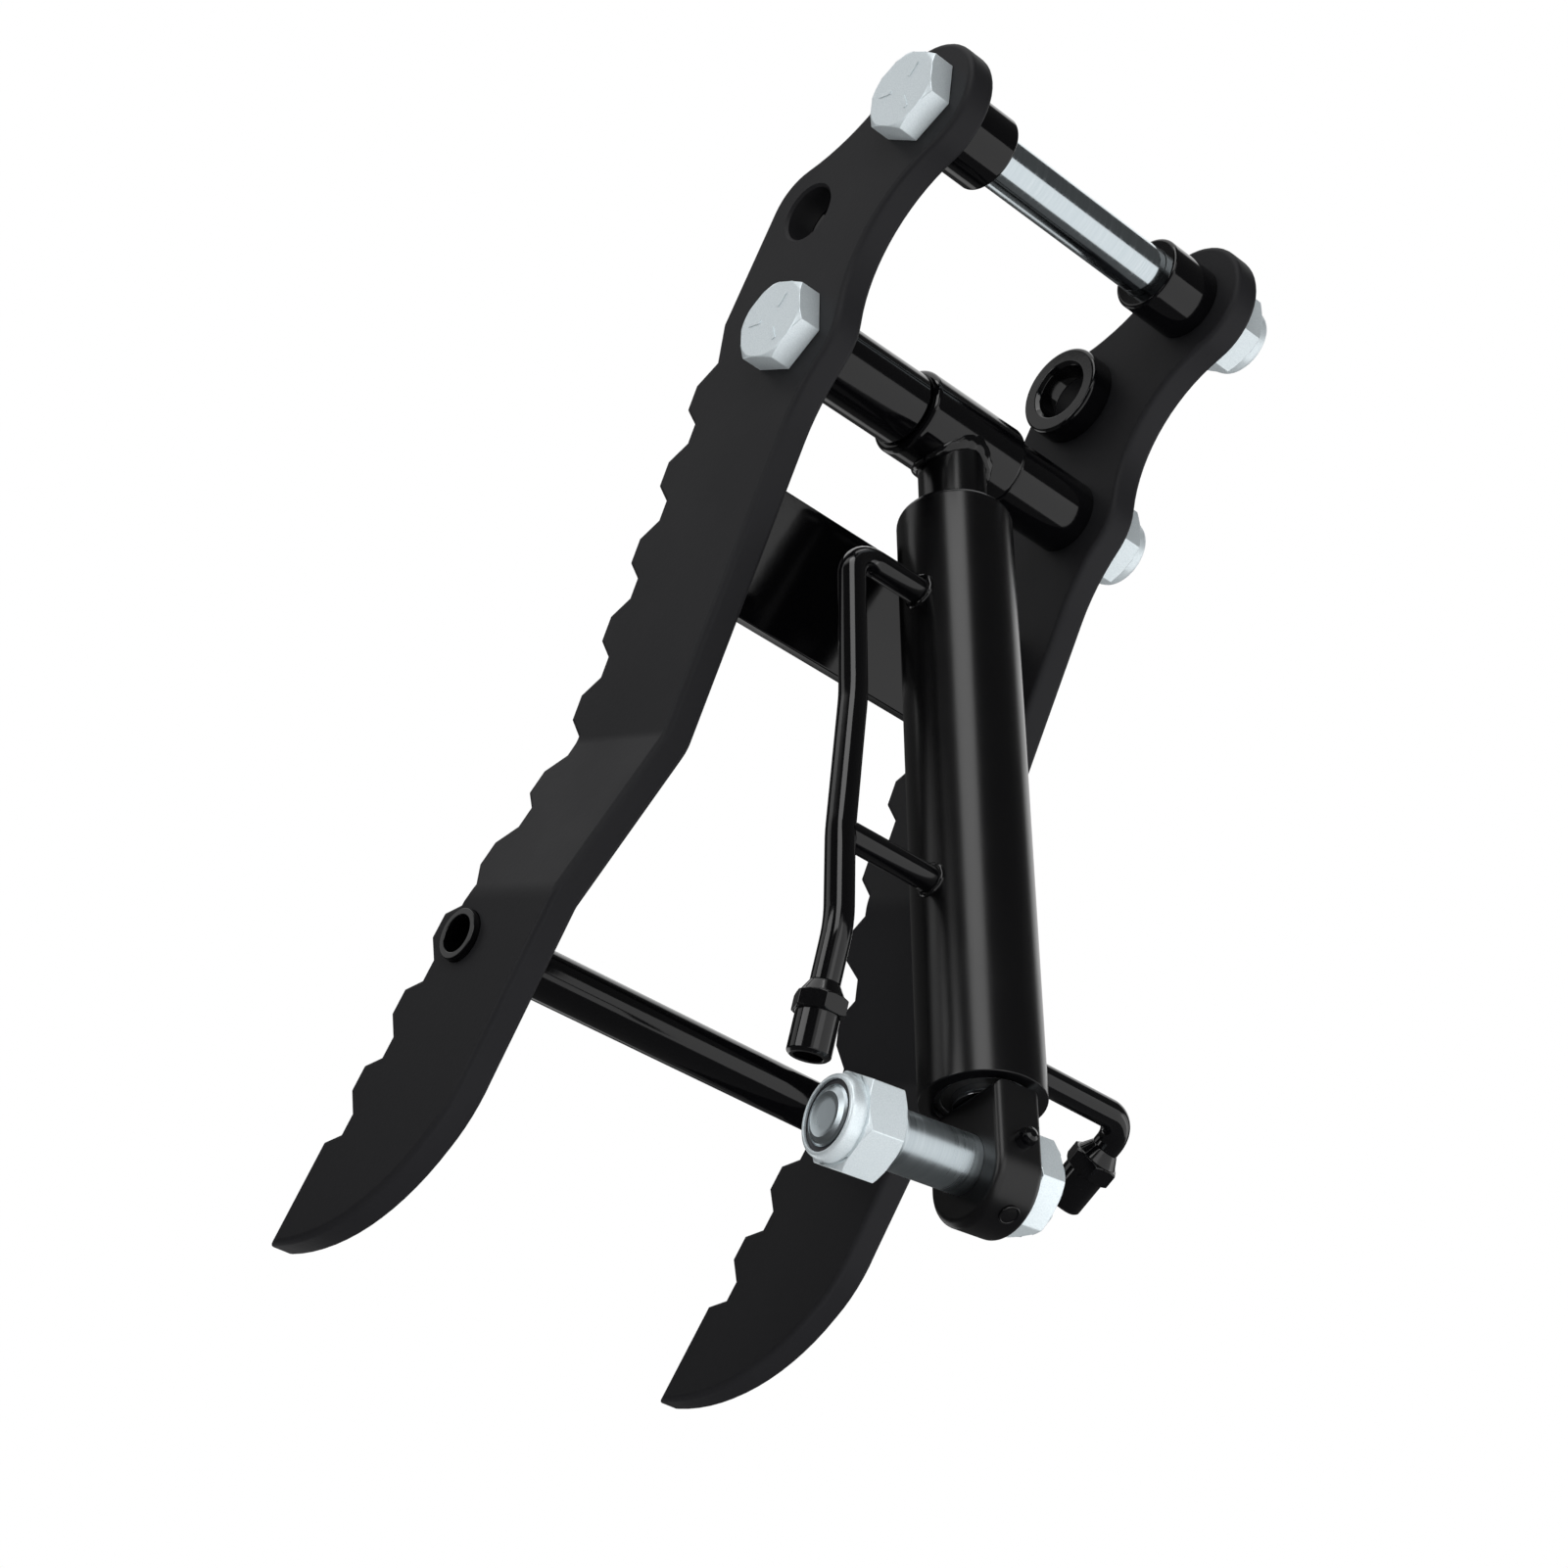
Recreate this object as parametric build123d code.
from build123d import *
from math import acos, atan2, cos, degrees, hypot, radians, sin, sqrt, tan
import os

# Hydraulic thumb for a small excavator: two toothed tines, their bolts, and the cylinder that moves them.
# Origin at the middle of the pivot bolt, +X along that bolt from the left tine to the right one,
# +Z straight up along the hanging cylinder, +Y towards the teeth. All lengths are in millimetres.

# Fits
RUN_FIT = 0.05            # radial room of every bolt, rod and piston in its hole
WELD_FIT = 0.05           # gap left at a curved welded seat
SLIP = 0.3                # end play beside a part that turns

# Tines: flat bar, cut to shape and joggled outwards below the cylinder
PLATE = 12.0              # thickness of the bar
INNER_GAP = 134.0         # between the tines at the bolts
JOGGLE = 18.0             # how far each tine steps out
JOGGLE_RUN = 64.6         # length of that step along the tine
BEND_RADIUS = 12.0        # inside radius of the press bends
BEND_ANGLE = -65.5        # direction across the bend lines, from +Y towards +Z
BEND_FOOT = (129.1, -208.5)     # where the first bend line meets the back edge

# Bolt centres in the side view, as (Y, Z)
PIVOT = (0.0, 0.0)
SPARE = (57.2, -12.1)
SWING = (67.0, -65.0)

# Rounded lands of the outline about those centres, and the hollows between them
HEAD_R = 25.1
SHOULDER_R = 22.0
HEEL_R = 25.4
TOP_HOLLOW_R = 75.0
BACK_HOLLOW_R = 58.4
HEEL_HOLLOW_R = 78.4

# Teeth: one straight rack down to the knee and a second one from there to the tip
RACK_START = (121.5, -66.2)     # lower corner of the first tooth
UPPER_ANGLE = -61.7
UPPER_PITCH = 31.0
UPPER_STEPS = 6
LOWER_ANGLE = -47.8
LOWER_PITCH = 29.8
LOWER_STEPS = 3
TOOTH_LAND = 10.3
TOOTH_ROOT = 7.3
TOOTH_FLANK = 6.4
TOOTH_DEPTH = 7.8
NECK_FLANK = 8.6                # run of the first tooth's upper flank
TIP_LENGTH = 60.0               # from the last tooth's lower corner to the point
NECK = (102.2, -37.3)           # corner between the shoulder and the first tooth

# Belly and back edge, as (Y, Z)
BELLY_LOW = (268.1, -346.7)
BELLY_END = (225.5, -333.4)
CALF_MID = (214.2, -325.6)
CALF_END = (204.9, -315.4)
BACK_KNEE = (163.2, -264.1)
BACK_ANGLE = 119.9              # direction of the straight back above the first bend

# Bosses and cross members
PIVOT_BOSS_OD = 29.8
PIVOT_BOSS_LEN = 24.0
SPARE_BOSS_OD = 36.5
SPARE_BOSS_LEN = 10.0
SPARE_BORE = 22.0
SPARE_MOUTH = 24.0              # countersunk mouth of the spare bore
SLEEVE_OD = 29.0
BOSS_EDGE = 1.5                 # rounding of the bosses' inner rims
MOUTH_BEVEL = 1.5               # bevel at the inner end of the spare bore
TUBE_CENTRE = (211.7, -259.9)
TUBE_OD = 19.0
TUBE_WALL = 2.6
TUBE_PROUD = 2.5
BRACE_TOP = (98.2, -102.4)      # top corner of the cross plate's front face
BRACE_ANGLE = -63.7
BRACE_HEIGHT = 51.3
BRACE_THICK = 6.0

# Fasteners: M20 bolts with prevailing torque nuts
BOLT_D = 20.0
HEX_AF = 30.0
HEAD_H = 10.0
HEX_EDGE = 30.2                 # diameter of the round left inside a hexagon's chamfer
HEX_SLOPE = 30.0
BOLT_POINT = 1.5
NUT_HEX_H = 14.5
NUT_H = 20.0
COLLAR_OD = 27.6
COLLAR_MOUTH = 23.4
INSERT_OD = 24.6
INSERT_H = 3.6
INSERT_DEPTH = 1.2
BOLT_PROUD = 1.5
HEAD_TURN = (39.1, 32.2, 17.0)  # how far the heads of the pivot, swing and rod bolts are turned

# Cylinder
CYL_SHIFT = 3.5                 # the cylinder stands off the middle, towards the right tine
BARREL_OD = 42.0
BARREL_BORE = 32.0
BARREL_TOP = -105.0
BARREL_END = -347.0
CAP_H = 9.0
CAP_EDGE = 3.0
CAP_SPIGOT_END = -140.0
EYE_OD = 34.0
EYE_LEN = 48.0
EYE_EDGE = 2.5
NECK_OD = 25.0
NECK_WELD = 3.5
ROD_D = 20.0
STROKE = 135.0
DEAD_LENGTH = 5.0               # left between the piston and the gland at full stroke

GLAND_RECESS = 2.0
GLAND_SEAT = 14.0               # length of the gland that fills the bore
GLAND_NOSE = 13.0               # reduced nose above it, past the port
GLAND_NOSE_OD = 27.0
ORING = 2.6
ORING_RISE = 8.0
WIPER_OD = 27.0
WIPER_H = 4.5
SEAL_OD = 27.0
SEAL_H = 5.0
SEAL_RISE = 4.0

PISTON_H = 25.0
PISTON_STEM = 16.0
PISTON_GROOVE = 3.0
PISTON_SEAL_H = 6.0
PISTON_LAND = 4.0               # between the piston's end and its grooves
WEAR_H = 5.0
PISTON_NUT_AF = 24.0
PISTON_NUT_H = 10.0

# Ports and pipes, placed from the cylinder's axis
PORT_TOP = -148.5
PORT_LOW = -325.5
PIPE_OD = 10.0
PIPE_BORE = 6.0
LONG_ROUTE = (                  # corners as (x, y) from that axis and z
    (-53.9, 0.0, PORT_TOP), (-54.8, 0.0, -212.0), (-62.5, 0.0, -272.0),
    (-63.9, 0.0, -307.0), (-63.9, 6.7, -326.5))
LONG_RADII = (12.0, 80.0, 80.0, 40.0)
SHORT_ELBOW_R = 9.5
SHORT_REACH = 71.6
SHORT_DROP_ANGLE = 30.0
SHORT_TAIL = 11.3
STAY_D = 9.5
STAY_Z = -270.5
UNION_AF = 16.0
UNION_CONE = 4.4                # taper from the pipe up to the hexagon
UNION_CONE_OD = 15.2
UNION_HEX = 6.2
UNION_STUB_OD = 14.5
UNION_STUB = 14.0
UNION_BORE = 9.5
UNION_EDGE = 1.0

# Rod eye and its bolt
ROD_PIN_Z = -372.0
ROD_TURN = -8.0                 # the rod is turned this far in the barrel
LUG_WIDTH = 36.0
LUG_THICK = 18.0
LUG_DROP = 2.3                  # the round end's centre lies this far below the bolt
LUG_EDGE = 3.0
LUG_TOP_GAP = 1.6               # between the barrel and the eye with the rod in
PIN_LENGTH = 73.0
PIN_NUT_FACE = 63.0             # from the eye's middle to the nut's outer end
NIPPLE_D = 6.5
NIPPLE_LEN = 5.5
NIPPLE_RISE = 3.5               # above the bolt's axis

# Worked out from the sizes above
INNER_X = INNER_GAP / 2
OUTER_X = INNER_X + PLATE
FOOT_X = OUTER_X + JOGGLE
BOLT_R = BOLT_D / 2
HOLE_R = BOLT_R + RUN_FIT
AXIS_Y = SWING[0]
EYE_LEFT = CYL_SHIFT - EYE_LEN / 2
EYE_RIGHT = CYL_SHIFT + EYE_LEN / 2
BARREL_R = BARREL_OD / 2
BORE_R = BARREL_BORE / 2
GLAND_LOW = BARREL_END + GLAND_RECESS
GLAND_SHOULDER = GLAND_LOW + GLAND_SEAT
GLAND_TOP = GLAND_SHOULDER + GLAND_NOSE
LUG_TOP = BARREL_END - LUG_TOP_GAP
PISTON_TOP = GLAND_TOP + DEAD_LENGTH + STROKE + PISTON_H
WEAR_LOW = PISTON_TOP - PISTON_H + PISTON_LAND
PISTON_SEAL_LOW = WEAR_LOW + WEAR_H + PISTON_LAND
PIPE_R = PIPE_OD / 2


# Small geometry helpers

def along(point, angle, distance):
    """The point a distance away in a direction, in the side view."""
    return (point[0] + distance * cos(radians(angle)), point[1] + distance * sin(radians(angle)))


def toward(start, end, distance):
    """The point a distance from start on the way to end."""
    span = hypot(end[0] - start[0], end[1] - start[1])
    return (start[0] + (end[0] - start[0]) * distance / span,
            start[1] + (end[1] - start[1]) * distance / span)


def arc_middle(centre, start, end, radius):
    """The middle of the shorter arc between two points on a circle."""
    half = ((start[0] + end[0]) / 2, (start[1] + end[1]) / 2)
    return toward(centre, half, radius)


def hollow_between(first, first_r, second, second_r, radius):
    """Tangent points and centre of a hollow that joins two round lands, left of the way between them."""
    span = hypot(second[0] - first[0], second[1] - first[1])
    reach = first_r + radius
    other = second_r + radius
    lead = (reach ** 2 - other ** 2 + span ** 2) / (2 * span)
    rise = sqrt(reach ** 2 - lead ** 2)
    way = degrees(atan2(second[1] - first[1], second[0] - first[0]))
    centre = along(along(first, way, lead), way + 90, rise)
    return toward(first, centre, first_r), toward(second, centre, second_r), centre


def hollow_to_line(land, land_r, foot, angle, radius):
    """Tangent points and centre of a hollow from a line to a round land, left of the line's direction."""
    base = along(foot, angle + 90, radius)
    to_land = (land[0] - base[0], land[1] - base[1])
    lead = to_land[0] * cos(radians(angle)) + to_land[1] * sin(radians(angle))
    off = hypot(*to_land) ** 2 - lead ** 2
    travel = lead - sqrt((radius + land_r) ** 2 - off)
    centre = along(base, angle, travel)
    return along(foot, angle, travel), toward(land, centre, land_r), centre


def tangent_from(point, centre, radius):
    """Where the line from a point touches a circle, on the circle's left side as seen from the point."""
    span = hypot(centre[0] - point[0], centre[1] - point[1])
    back = degrees(atan2(point[1] - centre[1], point[0] - centre[0]))
    swing = degrees(acos(radius / span))
    return along(centre, back + swing, radius)


def bar_x(x_from, x_to, centre, radius):
    """A round bar along X."""
    plane = Plane.YZ.offset(x_from)
    return extrude(plane * Pos(*centre) * Circle(radius), amount=x_to - x_from)


def turned_x(profile):
    """A turned piece about X from (x, radius) points."""
    return revolve(make_face(Polyline(*profile, close=True)), Axis.X)


def turned_z(profile):
    """A turned piece about Z from (radius, z) points."""
    return revolve(Plane.XZ * make_face(Polyline(*profile, close=True)), Axis.Z)


def round_rims(shape, places, outer_d, radius):
    """Round the outer rims of a piece about X at the given x places."""
    rims = ShapeList()
    for place in places:
        rims += [edge for edge in shape.edges().filter_by(GeomType.CIRCLE)
                 if abs(edge.arc_center.X - place) < 0.01 and abs(edge.radius - outer_d / 2) < 0.01]
    return fillet(rims, radius)


def on_cylinder(shape):
    """Stand a piece made about Z on the cylinder's axis."""
    return Pos(CYL_SHIFT, AXIS_Y, 0) * shape


# Tines

def tooth_run(corner, angle, pitch, steps):
    """Points of a rack below a tooth corner: each step has the gap's floor and the next land."""
    points = []
    for step in range(steps):
        start = along(corner, angle, pitch * step)
        root_out = along(along(start, angle, TOOTH_FLANK), angle + 90, -TOOTH_DEPTH)
        root_in = along(root_out, angle, TOOTH_ROOT)
        land = along(start, angle, pitch - TOOTH_LAND)
        points += [root_out, root_in, land, along(start, angle, pitch)]
    return points


def tine_outline():
    """Side view of a tine as a face in the YZ plane."""
    knee = along(RACK_START, UPPER_ANGLE, UPPER_PITCH * UPPER_STEPS)
    last = along(knee, LOWER_ANGLE, LOWER_PITCH * LOWER_STEPS)
    tip = along(last, LOWER_ANGLE, TIP_LENGTH)
    first_root = along(along(RACK_START, UPPER_ANGLE, -TOOTH_LAND - NECK_FLANK),
                       UPPER_ANGLE + 90, -TOOTH_DEPTH)
    end_root = [along(along(last, LOWER_ANGLE, run), LOWER_ANGLE + 90, -TOOTH_DEPTH)
                for run in (TOOTH_FLANK, TOOTH_FLANK + TOOTH_ROOT)]
    teeth = [NECK, first_root, along(RACK_START, UPPER_ANGLE, -TOOTH_LAND), RACK_START]
    teeth += tooth_run(RACK_START, UPPER_ANGLE, UPPER_PITCH, UPPER_STEPS)
    teeth += tooth_run(knee, LOWER_ANGLE, LOWER_PITCH, LOWER_STEPS)
    teeth += end_root + [along(last, LOWER_ANGLE, LOWER_PITCH - TOOTH_LAND), tip]

    back_foot, heel_low, heel_hollow = hollow_to_line(SWING, HEEL_R, BEND_FOOT, BACK_ANGLE, HEEL_HOLLOW_R)
    heel_high, head_low, back_hollow = hollow_between(SWING, HEEL_R, PIVOT, HEAD_R, BACK_HOLLOW_R)
    head_high, shoulder_in, top_hollow = hollow_between(PIVOT, HEAD_R, SPARE, SHOULDER_R, TOP_HOLLOW_R)
    shoulder_out = tangent_from(NECK, SPARE, SHOULDER_R)

    head_far = along(PIVOT, (degrees(atan2(head_high[1], head_high[0]))
                             + degrees(atan2(head_low[1], head_low[0])) + 360) / 2, HEAD_R)
    edges = [
        Polyline(*teeth),
        ThreePointArc(tip, BELLY_LOW, BELLY_END),
        ThreePointArc(BELLY_END, CALF_MID, CALF_END),
        Polyline(CALF_END, BACK_KNEE, BEND_FOOT, back_foot),
        ThreePointArc(back_foot, arc_middle(heel_hollow, back_foot, heel_low, HEEL_HOLLOW_R), heel_low),
        ThreePointArc(heel_low, arc_middle(SWING, heel_low, heel_high, HEEL_R), heel_high),
        ThreePointArc(heel_high, arc_middle(back_hollow, heel_high, head_low, BACK_HOLLOW_R), head_low),
        ThreePointArc(head_low, head_far, head_high),
        ThreePointArc(head_high, arc_middle(top_hollow, head_high, shoulder_in, TOP_HOLLOW_R),
                      shoulder_in),
        ThreePointArc(shoulder_in, arc_middle(SPARE, shoulder_in, shoulder_out, SHOULDER_R),
                      shoulder_out),
        Line(shoulder_out, NECK),
    ]
    return make_face([edge for part in edges for edge in part.edges()])


def joggled_sheet():
    """The left tine's bar seen along its bend lines, swept wide enough to hold the outline."""
    reach = 420.0
    slope = atan2(JOGGLE, JOGGLE_RUN)
    miter = PLATE * tan(slope / 2)
    outer = FilletPolyline((-reach, -OUTER_X), (0, -OUTER_X), (JOGGLE_RUN, -FOOT_X), (reach, -FOOT_X),
                           radius=(BEND_RADIUS, BEND_RADIUS + PLATE))
    inner = FilletPolyline((reach, PLATE - FOOT_X), (JOGGLE_RUN + miter, PLATE - FOOT_X),
                           (miter, -INNER_X), (-reach, -INNER_X),
                           radius=(BEND_RADIUS, BEND_RADIUS + PLATE))
    ends = [Line((reach, -FOOT_X), (reach, PLATE - FOOT_X)), Line((-reach, -INNER_X), (-reach, -OUTER_X))]
    section = make_face(outer.edges() + inner.edges() + [line.edge() for line in ends])
    down = (0, cos(radians(BEND_ANGLE)), sin(radians(BEND_ANGLE)))
    bend_line = (0, sin(radians(BEND_ANGLE)), -cos(radians(BEND_ANGLE)))
    bend_plane = Plane(origin=(0, *BEND_FOOT), x_dir=down, z_dir=bend_line)
    return extrude(bend_plane * section, amount=reach, both=True)


def make_tine():
    """Left tine: the outline cut from the joggled bar, with its holes."""
    blank = extrude(Plane.YZ.offset(-FOOT_X - PLATE) * tine_outline(), amount=FOOT_X)
    tine = blank & joggled_sheet()
    for centre, radius in ((PIVOT, HOLE_R), (SWING, HOLE_R), (SPARE, SPARE_BORE / 2),
                           (TUBE_CENTRE, TUBE_OD / 2 + WELD_FIT)):
        tine -= bar_x(-FOOT_X - PLATE, 0, centre, radius)
    mouth_depth = (SPARE_MOUTH - SPARE_BORE) / 2
    mouth = turned_x([(-OUTER_X, 0), (-OUTER_X, SPARE_MOUTH / 2),
                      (mouth_depth - OUTER_X, SPARE_BORE / 2), (mouth_depth - OUTER_X, 0)])
    tine -= Pos(0, *SPARE) * mouth
    return tine.solid()


def make_boss(outer_d, length, bore_r):
    """Left boss that stands on the inner face of a tine, with a rounded inner rim."""
    end = length - INNER_X
    ring = turned_x([(-INNER_X, bore_r), (-INNER_X, outer_d / 2), (end, outer_d / 2), (end, bore_r)])
    return round_rims(ring, [end], outer_d, BOSS_EDGE)


def make_spare_boss():
    """Left boss of the spare hole, with a bevel at its inner mouth."""
    end = SPARE_BOSS_LEN - INNER_X
    bevel = turned_x([(end - MOUTH_BEVEL, 0), (end - MOUTH_BEVEL, SPARE_BORE / 2),
                      (end, SPARE_BORE / 2 + MOUTH_BEVEL), (end, 0)])
    return make_boss(SPARE_BOSS_OD, SPARE_BOSS_LEN, SPARE_BORE / 2) - bevel


def make_brace():
    """Flat plate welded between the tines behind the cylinder."""
    low = along(BRACE_TOP, BRACE_ANGLE, BRACE_HEIGHT)
    back = BRACE_ANGLE + 90
    corners = [BRACE_TOP, low, along(low, back, BRACE_THICK), along(BRACE_TOP, back, BRACE_THICK)]
    section = Plane.YZ.offset(-INNER_X) * make_face(Polyline(*corners, close=True))
    return extrude(section, amount=INNER_GAP)


def make_cross_tube():
    """Open tube through the feet of both tines."""
    reach = FOOT_X + TUBE_PROUD
    tube = bar_x(-reach, reach, TUBE_CENTRE, TUBE_OD / 2)
    return tube - bar_x(-reach, reach, TUBE_CENTRE, TUBE_OD / 2 - TUBE_WALL)


# Fasteners, made along X from x = 0

def hexagon_x(across, length, chamfer_start, chamfer_end):
    """A hexagon along +X with its corners beveled where asked."""
    corner = across / sqrt(3)
    flat = HEX_EDGE / HEX_AF * across / 2
    bevel = (corner - flat) * tan(radians(HEX_SLOPE))
    profile = [(0, 0)]
    profile += [(0, flat), (bevel, corner)] if chamfer_start else [(0, corner)]
    profile += [(length - bevel, corner), (length, flat)] if chamfer_end else [(length, corner)]
    profile += [(length, 0)]
    prism = extrude(Plane.YZ * RegularPolygon(corner, 6), amount=length)
    return prism & turned_x(profile)


def make_bolt(length):
    """Hexagon bolt: the head reaches to -X from x = 0 and the shank to +X."""
    head = Rot(0, 180, 0) * hexagon_x(HEX_AF, HEAD_H, False, True)
    shank = turned_x([(0, 0), (0, BOLT_R), (length - BOLT_POINT, BOLT_R),
                      (length, BOLT_R - BOLT_POINT), (length, 0)])
    return (head + shank).solid()


def make_nut():
    """Nut with a rolled collar, from x = 0 outwards."""
    lip = (COLLAR_OD - COLLAR_MOUTH) / 4
    collar = turned_x([(NUT_HEX_H - 1, HOLE_R), (NUT_HEX_H - 1, COLLAR_OD / 2),
                       (NUT_H - 2 * lip, COLLAR_OD / 2), (NUT_H - lip / 2, COLLAR_OD / 2 - lip / 2),
                       (NUT_H, COLLAR_OD / 2 - 1.4 * lip), (NUT_H, COLLAR_MOUTH / 2),
                       (NUT_H - 1, HOLE_R)])
    body = hexagon_x(HEX_AF, NUT_HEX_H, True, True) + collar
    body -= turned_x([(-1, 0), (-1, HOLE_R), (NUT_H + 1, HOLE_R), (NUT_H + 1, 0)])
    pocket_top = NUT_H - INSERT_DEPTH
    body -= turned_x([(pocket_top - INSERT_H, 0), (pocket_top - INSERT_H, INSERT_OD / 2 + WELD_FIT),
                      (pocket_top, INSERT_OD / 2 + WELD_FIT), (pocket_top, COLLAR_MOUTH / 2),
                      (NUT_H, COLLAR_MOUTH / 2), (NUT_H, 0)])
    return body.solid()


def make_insert():
    """Locking ring in the nut's collar."""
    top = NUT_H - INSERT_DEPTH - RUN_FIT
    low = NUT_H - INSERT_DEPTH - INSERT_H + RUN_FIT
    return turned_x([(low, HOLE_R), (low, INSERT_OD / 2), (top, INSERT_OD / 2), (top, HOLE_R)])


# Cylinder barrel, made about Z with the swing bolt's height kept

def make_base_eye():
    """Cross tube at the cylinder's closed end, running on the swing bolt."""
    eye = turned_x([(EYE_LEFT, HOLE_R), (EYE_LEFT, EYE_OD / 2),
                    (EYE_RIGHT, EYE_OD / 2), (EYE_RIGHT, HOLE_R)])
    return Pos(0, *SWING) * round_rims(eye, [EYE_LEFT, EYE_RIGHT], EYE_OD, EYE_EDGE)


def make_base_cap():
    """Closed end of the barrel with the neck that carries the eye."""
    neck_r = NECK_OD / 2
    spigot_r = BORE_R - WELD_FIT
    cap = turned_z([(0, CAP_SPIGOT_END), (spigot_r, CAP_SPIGOT_END), (spigot_r, BARREL_TOP - CAP_H),
                    (BARREL_R, BARREL_TOP - CAP_H), (BARREL_R, BARREL_TOP),
                    (neck_r + NECK_WELD, BARREL_TOP), (neck_r, BARREL_TOP + NECK_WELD),
                    (neck_r, SWING[1]), (0, SWING[1])])
    rim = cap.edges().filter_by(GeomType.CIRCLE).filter_by_position(Axis.Z, BARREL_TOP, BARREL_TOP)
    land = BARREL_R - neck_r - NECK_WELD
    cap = fillet(rim.sort_by(SortBy.RADIUS)[-1:], min(CAP_EDGE, 0.8 * land))
    seat = bar_x(-NECK_OD, NECK_OD, SWING, EYE_OD / 2 + WELD_FIT)
    return (on_cylinder(cap) - Pos(CYL_SHIFT, 0, 0) * seat).solid()


def port_hole(side, height):
    """Drilling from a pipe through the barrel's wall."""
    ends = sorted((side * BORE_R / 2, side * (BARREL_R + 1)))
    return Pos(CYL_SHIFT, 0, 0) * bar_x(*ends, (AXIS_Y, height), PIPE_BORE / 2)


def make_barrel_tube():
    """Honed tube with its two port holes."""
    tube = on_cylinder(turned_z([(BORE_R, BARREL_END), (BARREL_R, BARREL_END),
                                 (BARREL_R, BARREL_TOP - CAP_H), (BORE_R, BARREL_TOP - CAP_H)]))
    return (tube - port_hole(-1, PORT_TOP) - port_hole(1, PORT_LOW)).solid()


def make_gland():
    """Rod guide in the open end, with grooves for its seals."""
    low = GLAND_LOW
    rod_r = ROD_D / 2 + RUN_FIT
    groove = low + ORING_RISE
    seal_low = low + WIPER_H + SEAL_RISE
    profile = [
        (WIPER_OD / 2, low), (BORE_R - WELD_FIT, low), (BORE_R - WELD_FIT, groove),
        (BORE_R - ORING, groove), (BORE_R - ORING, groove + ORING), (BORE_R - WELD_FIT, groove + ORING),
        (BORE_R - WELD_FIT, GLAND_SHOULDER), (GLAND_NOSE_OD / 2, GLAND_SHOULDER),
        (GLAND_NOSE_OD / 2, GLAND_TOP), (rod_r, GLAND_TOP), (rod_r, seal_low + SEAL_H),
        (SEAL_OD / 2 - 1, seal_low + SEAL_H), (SEAL_OD / 2 - 1, seal_low), (rod_r, seal_low),
        (rod_r, low + WIPER_H), (WIPER_OD / 2, low + WIPER_H)]
    return on_cylinder(turned_z(profile))


def ring_z(inner_r, outer_r, low, height, shave=RUN_FIT):
    """A ring about the cylinder's axis, a little smaller than its groove."""
    return on_cylinder(turned_z([(inner_r, low + shave), (outer_r, low + shave),
                                 (outer_r, low + height - shave), (inner_r, low + height - shave)]))


def make_oring():
    """Round-section ring in the gland's outer groove."""
    ring_r = ORING / 2 - RUN_FIT
    middle = Plane.XZ * Pos(BORE_R - ORING / 2, GLAND_LOW + ORING_RISE + ORING / 2) * Circle(ring_r)
    return on_cylinder(revolve(middle, Axis.Z))


def pipe_bar(path, radius):
    """A round bar along a path."""
    return sweep(Plane(path @ 0, z_dir=path % 0) * Circle(radius), path=path)


def pipe_path(points, radii):
    """Middle line of a pipe: straight runs with a bend of its own radius at each inner corner."""
    corners = [Vector(*point) for point in points]
    start = corners[0]
    edges = []
    for corner, after, radius in zip(corners[1:], corners[2:], radii):
        arrive = (corner - start).normalized()
        leave = (after - corner).normalized()
        half = radians(arrive.get_angle(leave)) / 2
        enter = corner - arrive * (radius * tan(half))
        depart = corner + leave * (radius * tan(half))
        inward = (leave - arrive).normalized()
        middle = corner + inward * (radius / cos(half) - radius)
        edges += [Line(start, enter).edge(), ThreePointArc(enter, middle, depart).edge()]
        start = depart
    edges.append(Line(start, corners[-1]).edge())
    return Wire(edges)


def make_pipe(points, radii):
    """Hollow pipe along its route, fitted to the barrel at its start."""
    path = pipe_path(points, radii)
    pipe = pipe_bar(path, PIPE_R) - pipe_bar(path, PIPE_BORE / 2)
    return (pipe - barrel_seat(points[0][2])).solid()


def barrel_seat(height):
    """The space that the barrel takes near a welded piece."""
    return Pos(CYL_SHIFT, AXIS_Y, height) * Cylinder(BARREL_R + WELD_FIT, 2 * PIPE_OD)


def make_union(end, direction):
    """Pipe union from the pipe's end: a taper, a hexagon and an open stub."""
    hex_end = UNION_CONE + UNION_HEX
    stub_end = hex_end + UNION_STUB
    stub_r = UNION_STUB_OD / 2
    cone = turned_x([(0, 0), (0, PIPE_R), (UNION_CONE, UNION_CONE_OD / 2), (UNION_CONE, 0)])
    hexagon = Pos(UNION_CONE, 0, 0) * hexagon_x(UNION_AF, UNION_HEX, True, True)
    stub = turned_x([(hex_end - 1, 0), (hex_end - 1, stub_r), (stub_end - UNION_EDGE, stub_r),
                     (stub_end, stub_r - UNION_EDGE), (stub_end, 0)])
    union = cone + hexagon + stub
    union -= turned_x([(-1, 0), (-1, PIPE_BORE / 2), (hex_end, PIPE_BORE / 2),
                       (hex_end, UNION_BORE / 2), (stub_end, UNION_BORE / 2), (stub_end, 0)])
    place = Plane(end, x_dir=direction, z_dir=Vector(direction).cross(Vector(1, 0, 0)))
    return (place * union).solid()


def long_route():
    """Corner points of the long pipe, from its port down to its union."""
    start = (CYL_SHIFT - BARREL_R + 1, AXIS_Y, PORT_TOP)
    return [start] + [(CYL_SHIFT + x, AXIS_Y + y, z) for x, y, z in LONG_ROUTE]


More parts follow.
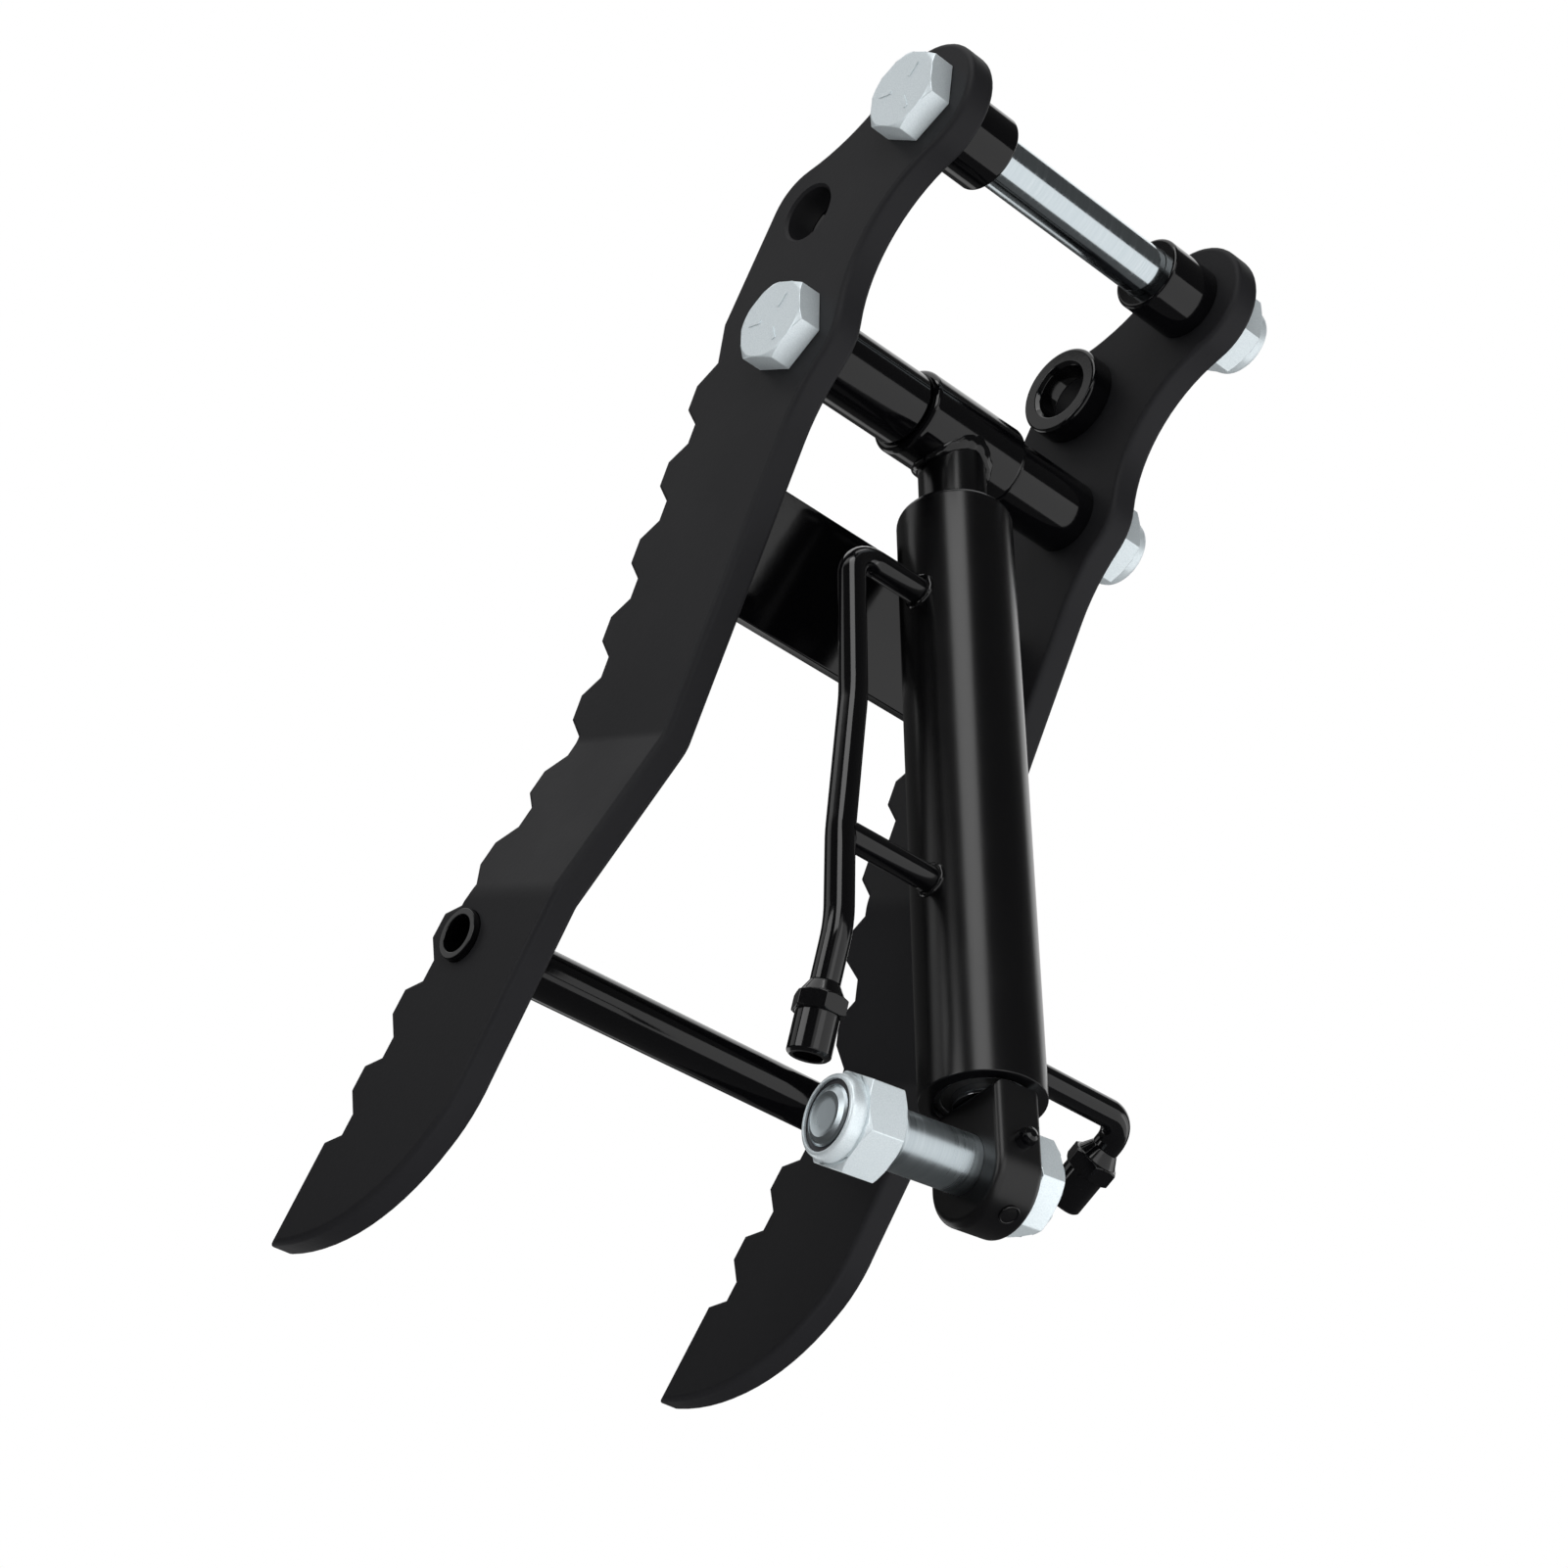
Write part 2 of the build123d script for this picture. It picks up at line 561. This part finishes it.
def short_route():
    """Corner points of the short pipe, out of the low port and round to the front."""
    start = (CYL_SHIFT + BARREL_R - 1, AXIS_Y, PORT_LOW)
    corner = (CYL_SHIFT + SHORT_REACH, AXIS_Y, PORT_LOW)
    tail = along((AXIS_Y, PORT_LOW), -SHORT_DROP_ANGLE, SHORT_TAIL)
    return [start, corner, (CYL_SHIFT + SHORT_REACH, *tail)]


def route_end(points):
    """Last point of a route and the direction in which it arrives."""
    return points[-1], Vector(*points[-1]) - Vector(*points[-2])


def make_stay():
    """Round bar that ties the long pipe to the barrel."""
    (x_high, _, z_high), (x_low, _, z_low) = LONG_ROUTE[1], LONG_ROUTE[2]
    pipe_x = CYL_SHIFT + x_high + (x_low - x_high) * (STAY_Z - z_high) / (z_low - z_high)
    bar = bar_x(pipe_x, CYL_SHIFT - BORE_R, (AXIS_Y, STAY_Z), STAY_D / 2)
    bar -= pipe_bar(pipe_path(long_route(), LONG_RADII), PIPE_R + WELD_FIT)
    bar -= barrel_seat(STAY_Z)
    return bar.solids().sort_by(SortBy.VOLUME)[-1]


# Rod assembly, with the rod pushed in

def make_rod():
    """Chromed rod with the stem that carries the piston."""
    rod_r = ROD_D / 2
    stem_r = PISTON_STEM / 2
    stem_top = PISTON_TOP + PISTON_NUT_H
    return on_cylinder(turned_z([
        (0, LUG_TOP), (rod_r, LUG_TOP), (rod_r, PISTON_TOP - PISTON_H), (stem_r, PISTON_TOP - PISTON_H),
        (stem_r, stem_top - 1), (stem_r - 1, stem_top), (0, stem_top)]))


def make_piston():
    """Piston with grooves for its seal and wear ring."""
    outer = BORE_R - RUN_FIT
    groove = BORE_R - PISTON_GROOVE
    low = PISTON_TOP - PISTON_H
    profile = [(PISTON_STEM / 2 + RUN_FIT, low), (outer, low)]
    for start, height in ((WEAR_LOW, WEAR_H), (PISTON_SEAL_LOW, PISTON_SEAL_H)):
        profile += [(outer, start), (groove, start), (groove, start + height), (outer, start + height)]
    profile += [(outer, PISTON_TOP), (PISTON_STEM / 2 + RUN_FIT, PISTON_TOP)]
    return on_cylinder(turned_z(profile))


def make_piston_nut():
    """Nut that clamps the piston on the stem."""
    nut = hexagon_x(PISTON_NUT_AF, PISTON_NUT_H, True, True)
    hole_r = PISTON_STEM / 2 + RUN_FIT
    nut -= turned_x([(-1, 0), (-1, hole_r), (PISTON_NUT_H + 1, hole_r), (PISTON_NUT_H + 1, 0)])
    return (on_cylinder(Pos(0, 0, PISTON_TOP) * Rot(0, -90, 0) * nut)).solid()


def at_rod_pin(shape):
    """Put a piece made about the origin on the rod eye's bolt, turned with the rod."""
    return Pos(CYL_SHIFT, AXIS_Y, ROD_PIN_Z) * Rot(0, 0, ROD_TURN) * shape


def make_rod_eye():
    """Forged eye: a thick flat with a round end, bored for the bolt."""
    half = LUG_WIDTH / 2
    top = LUG_TOP - ROD_PIN_Z
    outline = Pos(0, (top - LUG_DROP) / 2) * Rectangle(LUG_WIDTH, top + LUG_DROP)
    outline += Pos(0, -LUG_DROP) * Circle(half)
    eye = extrude(Plane.YZ.offset(-LUG_THICK / 2) * outline, amount=LUG_THICK)
    rims = eye.edges().filter_by_position(Axis.X, -LUG_THICK / 2, -LUG_THICK / 2)
    rims += eye.edges().filter_by_position(Axis.X, LUG_THICK / 2, LUG_THICK / 2)
    eye = fillet(rims, LUG_EDGE)
    eye -= bar_x(-LUG_THICK, LUG_THICK, (0, 0), HOLE_R)
    grease_hole = extrude(Plane.XZ * Circle(NIPPLE_D / 4), amount=LUG_WIDTH)
    eye -= Pos(0, 0, NIPPLE_RISE) * grease_hole
    return at_rod_pin(eye).solid()


def make_nipple():
    """Grease nipple on the front of the eye."""
    base_r = NIPPLE_D / 2
    start = LUG_WIDTH / 2
    steps = [(0, base_r), (0.45, base_r), (0.47, 0.5 * base_r), (0.65, 0.5 * base_r),
             (0.75, 0.75 * base_r), (0.9, 0.75 * base_r), (1.0, 0.4 * base_r)]
    profile = [(start, 0)] + [(start + share * NIPPLE_LEN, radius) for share, radius in steps]
    profile += [(start + NIPPLE_LEN, 0)]
    return at_rod_pin(Pos(0, 0, NIPPLE_RISE) * Rot(0, 0, -90) * turned_x(profile))


# Assembly

def build_parts():
    """Every piece by its name."""
    left = {
        "tine_left": make_tine(),
        "pivot_boss_left": Pos(0, *PIVOT) * make_boss(PIVOT_BOSS_OD, PIVOT_BOSS_LEN, HOLE_R),
        "spare_boss_left": Pos(0, *SPARE) * make_spare_boss(),
    }
    parts = dict(left)
    for name, shape in left.items():
        parts[name.replace("_left", "_right")] = mirror(shape, Plane.YZ)
    left_sleeve = make_boss(SLEEVE_OD, INNER_X + EYE_LEFT - SLIP, HOLE_R)
    right_sleeve = mirror(make_boss(SLEEVE_OD, INNER_X - EYE_RIGHT - SLIP, HOLE_R), Plane.YZ)
    parts["swing_sleeve_left"] = Pos(0, *SWING) * left_sleeve
    parts["swing_sleeve_right"] = Pos(0, *SWING) * right_sleeve
    parts["cross_plate"] = make_brace()
    parts["cross_tube"] = make_cross_tube()

    bolt_length = 2 * OUTER_X + NUT_H + BOLT_PROUD
    for name, centre, turn in (("pivot", PIVOT, HEAD_TURN[0]), ("swing", SWING, HEAD_TURN[1])):
        parts[name + "_bolt"] = Pos(-OUTER_X, *centre) * Rot(turn, 0, 0) * make_bolt(bolt_length)
        parts[name + "_nut"] = Pos(OUTER_X, *centre) * Rot(turn, 0, 0) * make_nut()
        parts[name + "_nut_insert"] = Pos(OUTER_X, *centre) * make_insert()

    parts["base_eye"] = make_base_eye()
    parts["base_cap"] = make_base_cap()
    parts["barrel_tube"] = make_barrel_tube()
    parts["gland"] = make_gland()
    parts["gland_oring"] = make_oring()
    rod_r = ROD_D / 2 + RUN_FIT
    parts["wiper"] = ring_z(rod_r, WIPER_OD / 2 - RUN_FIT, GLAND_LOW, WIPER_H)
    parts["rod_seal"] = ring_z(rod_r, SEAL_OD / 2 - 1 - RUN_FIT, GLAND_LOW + WIPER_H + SEAL_RISE, SEAL_H)
    parts["long_pipe"] = make_pipe(long_route(), LONG_RADII)
    parts["short_pipe"] = make_pipe(short_route(), (SHORT_ELBOW_R,))
    parts["long_union"] = make_union(*route_end(long_route()))
    parts["short_union"] = make_union(*route_end(short_route()))
    parts["pipe_stay"] = make_stay()

    parts["rod"] = make_rod()
    parts["piston"] = make_piston()
    groove_r = BORE_R - PISTON_GROOVE + RUN_FIT
    parts["wear_ring"] = ring_z(groove_r, BORE_R - RUN_FIT / 2, WEAR_LOW, WEAR_H)
    parts["piston_seal"] = ring_z(groove_r, BORE_R - RUN_FIT / 2, PISTON_SEAL_LOW, PISTON_SEAL_H)
    parts["piston_nut"] = make_piston_nut()
    parts["rod_eye"] = make_rod_eye()
    parts["grease_nipple"] = make_nipple()

    head_face = LUG_THICK / 2 + SLIP
    nut_face = NUT_H - PIN_NUT_FACE
    facing = Rot(HEAD_TURN[2], 0, 0) * Rot(0, 180, 0)
    parts["rod_bolt"] = at_rod_pin(Pos(head_face, 0, 0) * facing * make_bolt(PIN_LENGTH))
    parts["rod_nut"] = at_rod_pin(Pos(nut_face, 0, 0) * Rot(0, 180, 0) * make_nut())
    parts["rod_nut_insert"] = at_rod_pin(Pos(nut_face, 0, 0) * Rot(0, 180, 0) * make_insert())
    return parts


os.makedirs("parts", exist_ok=True)
for part_name, part_shape in build_parts().items():
    export_step(part_shape, f"parts/{part_name}.step")
